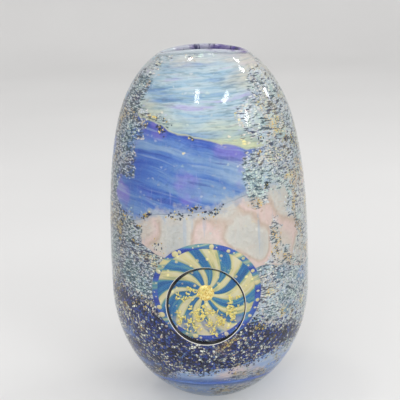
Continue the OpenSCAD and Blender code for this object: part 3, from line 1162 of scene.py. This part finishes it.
def cane_edge(number, reach):
    """Angle of the edge before a cane, which curves out from the middle and wavers."""
    number = number % (2 * CANE_PAIRS)
    shift, phase = np.random.default_rng(CANE_SEED + number).uniform(-1, 1, 2)
    waver = CANE_SHIFT * shift + CANE_WAVER * np.sin(reach / CANE_WAVE + pi * phase)
    return number * pi / CANE_PAIRS - np.arccos(reach / (2 * CANE_CURVE)) + waver


def cane(plan, number):
    """One cane from the middle to the collar, with a crowned front."""
    reach = np.linspace(CENTRE_R, CANES_R, CANE_COLUMNS)
    start = cane_edge(number, reach)
    width = (cane_edge(number + 1, reach) - start) % (2 * pi)
    fronts, backs = [], []
    for share in np.linspace(0, 1, CANE_ROWS):
        angle = start + width * share
        x, y = reach * np.cos(angle), reach * np.sin(angle)
        out = MEDALLION_PROUD - CANE_CROWN * (2 * share - 1) ** 2
        values = {"across": share, "along": reach / MEDALLION_R, "lot": number}
        fronts.append(plan.add(on_medallion(x, y, out), **values))
        backs.append(plan.add(on_medallion(x, y, MEDALLION_SEAT), **values))
    plan.slab(fronts, backs, closed=False)
    for end in (0, -1):
        plan.join([row[end] for row in fronts], [row[end] for row in backs], closed=False)


def canes_piece(name, first, material, slot):
    """Every second cane of the wheel."""
    plan = Plan()
    for number in range(first, 2 * CANE_PAIRS, 2):
        cane(plan, number)
    place_piece(plan.build(name, SHARP), [material], slot, "medallion_" + name)


def medallion_pieces():
    """The wheel of canes. Gives the two finishes that other pieces share."""
    back, seat, front = MEDALLION_BACK, MEDALLION_SEAT, MEDALLION_PROUD
    backing = streaked_material("backing_glass", 5 * MM, (0.35, CREAM), (0.6, OPAL))
    collar = streaked_material(
        "collar_glass", 6 * MM, (0.36, DEEP_COBALT), (0.46, COBALT), (0.54, CANE_TEAL), (0.62, CANE_CREAM)
    )
    blue = cane_material(
        "blue_cane", CANE_TEAL, CANE_CREAM, (0.36, CANE_BLUE), (0.54, CANE_AZURE), (0.68, CANE_TEAL)
    )
    cream = cane_material(
        "cream_cane", CANE_OLIVE, PALE_GOLD, (0.34, CANE_OLIVE), (0.46, CANE_CREAM), (0.64, CREAM)
    )
    gold = gold_material("gold_leaf", 0.35, (0.32, DARK_GOLD), (0.44, GOLD), (0.6, PALE_GOLD))
    disc_piece("backing", 0, MEDALLION_R, back, seat, 0, backing, "backing_glass")
    disc_piece("collar", CANES_R, MEDALLION_R, seat, front, COLLAR_CROWN, collar, "collar_glass")
    canes_piece("blue_canes", 0, blue, "blue_cane")
    canes_piece("cream_canes", 1, cream, "cream_cane")
    disc_piece("centre", 0, CENTRE_R, seat, front, CENTRE_CROWN, gold, "gold_leaf")
    return cream, gold


def bead(plan, chance, number):
    """One bead on the collar: a low dome with a flat back."""
    turn = 2 * pi * (number + chance.uniform(-BEAD_TURN_STRAY, BEAD_TURN_STRAY)) / BEADS
    size = BEAD_LEAST + BEAD_RANGE * chance.uniform(0, 1) ** 2
    reach = MEDALLION_R - COLLAR_W / 2 + chance.uniform(-BEAD_STRAY, BEAD_STRAY)
    long = chance.uniform(*BEAD_LENGTH)
    x, y = turned(reach, 0, turn)
    seat = MEDALLION_PROUD - BEAD_SINK
    angles = circle(BEAD_SIDES)
    values = {"across": 0.5, "along": number, "lot": number}
    rings = []
    for lift in BEAD_LIFTS:
        wide = size * cos(lift)
        u, v = turned(wide * np.cos(angles), long * wide * np.sin(angles), turn)
        place = on_medallion(x + u, y + v, seat + BEAD_HEIGHT * size * sin(lift))
        rings.append(plan.add(place, **values))
    plan.join_all(rings)
    plan.fan(rings[-1], on_medallion(x, y, seat + BEAD_HEIGHT * size), **values)
    plan.fan(rings[0], on_medallion(x, y, seat), **values)


def bead_piece(material):
    """Cream beads set unevenly round the collar."""
    plan = Plan()
    chance = np.random.default_rng(BEAD_SEED)
    for number in range(BEADS):
        bead(plan, chance, number)
    place_piece(plan.build("collar_beads"), [material], "cream_cane")


def flake(plan, chance, x, y):
    """One torn, crumpled flake in the clear glass over the canes."""
    long, wide = chance.uniform(*FLAKE_LONG), chance.uniform(*FLAKE_WIDE)
    lie = chance.uniform(0, pi)
    out = MEDALLION_PROUD + chance.uniform(*FLAKE_OUT)
    corners = np.sort(circle(FLAKE_SIDES) + chance.uniform(-FLAKE_STRAY, FLAKE_STRAY, FLAKE_SIDES))
    spread = chance.uniform(*FLAKE_SPREAD, FLAKE_SIDES)
    u, v = turned(long * spread * np.cos(corners), wide * spread * np.sin(corners), lie)
    crumple = chance.uniform(-FLAKE_CRUMPLE, FLAKE_CRUMPLE, FLAKE_SIDES)
    ring = plan.add(on_medallion(x + u, y + v, out + crumple))
    plan.fan(ring, on_medallion(x, y, out + FLAKE_CROWN))


def flake_piece(material):
    """Gold leaf in clumps and short strings, most of it low in the window."""
    plan = Plan()
    chance = np.random.default_rng(FLAKE_SEED)
    above = WINDOW_Z - MEDALLION_Z
    for _ in range(CLUMPS):
        reach = CLUMP_REACH * sqrt(chance.uniform(0, 1))
        x, y = turned(reach, 0, chance.uniform(0, 2 * pi))
        y += above
        if chance.uniform(0, 1) < CLUMP_LOSS * smooth_step(y, CLUMP_LOW, CLUMP_HIGH):
            continue
        lie = chance.uniform(0, pi)
        for _ in range(chance.integers(*CLUMP_FLAKES)):
            u, v = turned(chance.normal(0, CLUMP_LONG), chance.normal(0, CLUMP_WIDE), lie)
            if hypot(x + u, y + v - above) < FLAKE_REACH:
                flake(plan, chance, x + u, y + v)
    piece = plan.build("gold_flakes")
    piece.modifiers.new("thickness", "SOLIDIFY").thickness = FLAKE_T
    place_piece(piece, [material], "gold_leaf")


def crumb(plan, chance, s, turn):
    """One chip of glass, half sunk in the sweeps: six uneven spokes and eight faces."""
    size = chance.uniform(*CRUMB_SIZE)
    middle = lathe_ring(*SWEEP_OUT.place(s, CRUMB_RAISE * size), np.array([turn]))
    spokes = np.vstack([np.eye(3), -np.eye(3)]) * chance.uniform(*CRUMB_SPOKE, (6, 1))
    spin = np.linalg.qr(chance.normal(size=(3, 3)))[0]
    right, ahead, top, left, back, bottom = plan.add(middle + size * spokes @ spin)
    belt = (right, ahead, left, back, right)
    for tip in (top, bottom):
        for a, b in zip(belt, belt[1:]):
            plan.face((a, b, tip))


def crumb_pieces(dark, gold):
    """Clusters of dark and golden crumbs along the edges of the sweeps."""
    dark_plan, gold_plan = Plan(), Plan()
    chance = np.random.default_rng(CRUMB_SEED)
    turns = even_turns(COLUMNS)
    for edge in sweep_edges(turns)[1:]:
        for _ in range(CLUSTERS):
            column = chance.integers(COLUMNS)
            spread, drop = chance.uniform(*CLUSTER_SPREAD), chance.normal(0, CLUSTER_DROP)
            for _ in range(chance.integers(*CLUSTER_CRUMBS)):
                turn = turns[column] + chance.normal(0, spread) / WIDE_R
                nearest = round((turn - WINDOW_TURN) * COLUMNS / (2 * pi)) % COLUMNS
                s = edge[nearest] + drop + chance.normal(0, CLUSTER_FLATNESS * spread)
                crumb(gold_plan if chance.uniform() < CRUMB_GOLD else dark_plan, chance, s, turn)
    place_piece(dark_plan.build("dark_crumbs", CRUMB_SHARP), [dark], "midnight_glass")
    place_piece(gold_plan.build("gold_crumbs", CRUMB_SHARP), [gold], "gold_leaf")


# The camera, at the photograph's angle
CAMERA_PLACE = (0, -0.540, 0.250)
CAMERA_AIM = (-0.0046, 0, 0.1122)
CAMERA_ROLL = radians(-1.75)
CAMERA_LENS = 88.0

# Lamps, each with its place, width, height, power and roll
LAMP_AIM = (0, 0, 0.11)
SOFT_SPREAD = radians(100)
SOFT_LAMPS = {
    "key": ((-0.6, -1.5, 0.75), 1.6, 1.0, 3.8, 0),
    "fill": ((1.2, -1.4, 0.6), 1.0, 0.8, 1.4, 0),
}
SMALL_SPREAD = radians(180)
SMALL_LAMPS = {
    "strip_left": ((-0.20, -0.98, 1.04), 0.13, 0.26, 1.3, 0),
    "strip_right": ((0.617, -0.86, 0.984), 0.10, 0.30, 1.3, radians(-58)),
    "spot_high": ((0.925, 0.225, 1.12), 0.16, 0.12, 0.8, 0),
    "spot_side": ((1.159, 0.445, 0.65), 0.12, 0.12, 0.6, 0),
    "spot_low": ((1.065, -0.649, 0.66), 0.11, 0.16, 0.7, radians(-60)),
    "glint_left": ((-0.336, 0.029, 1.351), 0.13, 0.12, 0.9, 0),
    "glint_right": ((0.695, 0.418, 1.082), 0.12, 0.10, 0.7, 0),
}

# The sky's strength as a light and as a background, and the floor with its bend up to a wall
SKY_LIGHT = 1.0
SKY_SEEN = 0.9
FLOOR_SIDES = 96
FLOOR_MIDDLE = 0.3
FLOOR_R = 1.7
FLOOR_BEND = 0.6
BEND_ROWS = 14
WALL_TOP = 1.0


def add_aimed(name, data, place, aim, roll):
    """A camera or a lamp at one place that looks at another."""
    thing = bpy.data.objects.new(name, data)
    bpy.context.scene.collection.objects.link(thing)
    look = (Vector(aim) - Vector(place)).to_track_quat("-Z", "Y").to_matrix().to_4x4()
    thing.matrix_world = Matrix.Translation(place) @ look @ Matrix.Rotation(roll, 4, "Z")
    return thing


def make_camera():
    data = bpy.data.cameras.new("camera")
    data.lens = CAMERA_LENS
    bpy.context.scene.camera = add_aimed("camera", data, CAMERA_PLACE, CAMERA_AIM, CAMERA_ROLL)


def area_lamp(name, place, width, height, power, roll, spread, mirrored):
    data = bpy.data.lights.new(name, "AREA")
    data.shape = "RECTANGLE"
    data.spread = spread
    data.size, data.size_y, data.energy = width, height, power
    add_aimed(name, data, place, LAMP_AIM, roll).visible_glossy = mirrored


def make_lamps():
    """Soft lamps that the glass doesn't mirror, and small ones that make its highlights."""
    for name, settings in SOFT_LAMPS.items():
        area_lamp(name, *settings, SOFT_SPREAD, mirrored=False)
    for name, settings in SMALL_LAMPS.items():
        area_lamp(name, *settings, SMALL_SPREAD, mirrored=True)


def make_world():
    """An even pale sky, seen a little dimmer than it lights, also in the glass."""
    world = bpy.data.worlds.new("sky")
    nodes = Nodes(world)
    rays = nodes.node("ShaderNodeLightPath").outputs
    seen = rays["Is Camera Ray"]
    for ray in ("Is Glossy Ray", "Is Transmission Ray"):
        seen = nodes.math("MAXIMUM", seen, rays[ray])
    strength = nodes.node("ShaderNodeMapRange", {"Value": seen, "To Min": SKY_LIGHT, "To Max": SKY_SEEN})
    background = world.node_tree.nodes["Background"]
    nodes.put(background.inputs["Color"], SKY_COLOUR)
    nodes.put(background.inputs["Strength"], strength.outputs[0])
    bpy.context.scene.world = world


def make_floor():
    """A pale round floor that curves up all round to a low wall."""
    plan = Plan()
    turns = even_turns(FLOOR_SIDES)
    bend = np.linspace(0, pi / 2, BEND_ROWS)
    reaches = [FLOOR_MIDDLE, *(FLOOR_R + FLOOR_BEND * np.sin(bend)), FLOOR_R + FLOOR_BEND]
    heights = [0, *(FLOOR_BEND - FLOOR_BEND * np.cos(bend)), WALL_TOP]
    rings = plan.lathe(zip(reaches, heights), turns)
    plan.join_all(rings)
    plan.fan(rings[0], (0, 0, 0))
    floor = plan.build("floor", uneven=False)
    paint = Paint("floor", roughness=0.8)
    shade = paint.noise(paint.where, 0.5, detail=2)
    floor.data.materials.append(paint.finish(paint.ramp(shade, (0.3, FLOOR_GREY), (0.7, FLOOR_PALE))))


# The sweeps' finishes, from the base up
SWEEPS = {
    "sky": sky_material,
    "midnight": midnight_material,
    "silver": silver_material,
    "opal": opal_material,
    "cobalt": cobalt_material,
    "veil": veil_material,
}

make_camera()
make_floor()
make_world()
make_lamps()
casing_piece()
lip_piece()
trail_piece()
core_pieces()
for number, (name, make_material) in enumerate(SWEEPS.items()):
    sweep_piece(number, name, make_material())
cream_cane, gold_leaf = medallion_pieces()
bead_piece(cream_cane)
bright_leaf = gold_material(
    "bright_leaf", 0.1, (0.28, DARK_GOLD), (0.33, GOLD), (0.42, YELLOW_GOLD), (0.56, PALE_GOLD)
)
flake_piece(bright_leaf)
dark_crumb = streaked_material("dark_crumb", 1.5 * MM, (0.35, INK), (0.5, SLATE), (0.65, NAVY))
crumb_pieces(dark_crumb, gold_leaf)

bpy.context.scene.view_settings.view_transform = "Standard"
